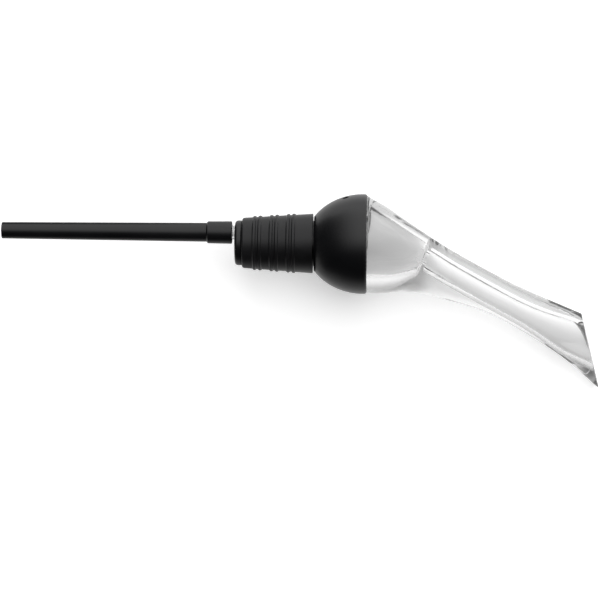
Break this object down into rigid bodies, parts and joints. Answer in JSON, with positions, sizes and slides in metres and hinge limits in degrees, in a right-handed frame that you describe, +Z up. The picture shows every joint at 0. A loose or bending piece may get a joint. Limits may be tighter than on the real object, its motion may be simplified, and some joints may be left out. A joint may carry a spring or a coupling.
{
  "type": "wine aerator pourer",
  "caption": "Wine aerator pourer: black dome and ribbed bottle stopper with a long breather tube behind and a thick clear head that droops to an oblique flared spout.",
  "frame": {"origin": "on the table the pourer lies on, under the middle of its bounding box", "axes": "+X along the bottle's axis from the breather tube to the spout, +Z up from the table, +Y away from the spout's droop"},
  "size_m": [0.2142, 0.0681, 0.0356],
  "materials": {
    "black_plastic": "satin moulded black",
    "black_silicone": "soft matt",
    "seal_silicone": "soft translucent grey",
    "clear_acrylic": "clear and polished"
  },
  "bodies": {
    "body": {"dome_body": "black_plastic", "stopper_sleeve": "black_silicone", "breather_pipe": "clear_acrylic", "mixing_insert": "clear_acrylic", "insert_seal": "seal_silicone"},
    "tube": {"breather_tube": "black_plastic"},
    "head": {"spout_head": "clear_acrylic", "head_seal": "seal_silicone"}
  },
  "joints": [
    {"name": "tube_pull", "type": "slide", "parent": "body", "child": "tube", "axis": [-1, 0, 0], "range_m": [0, 0.012]},
    {"name": "head_pull", "type": "slide", "parent": "body", "child": "head", "axis": [1, 0, 0], "range_m": [0, 0.012]}
  ]
}
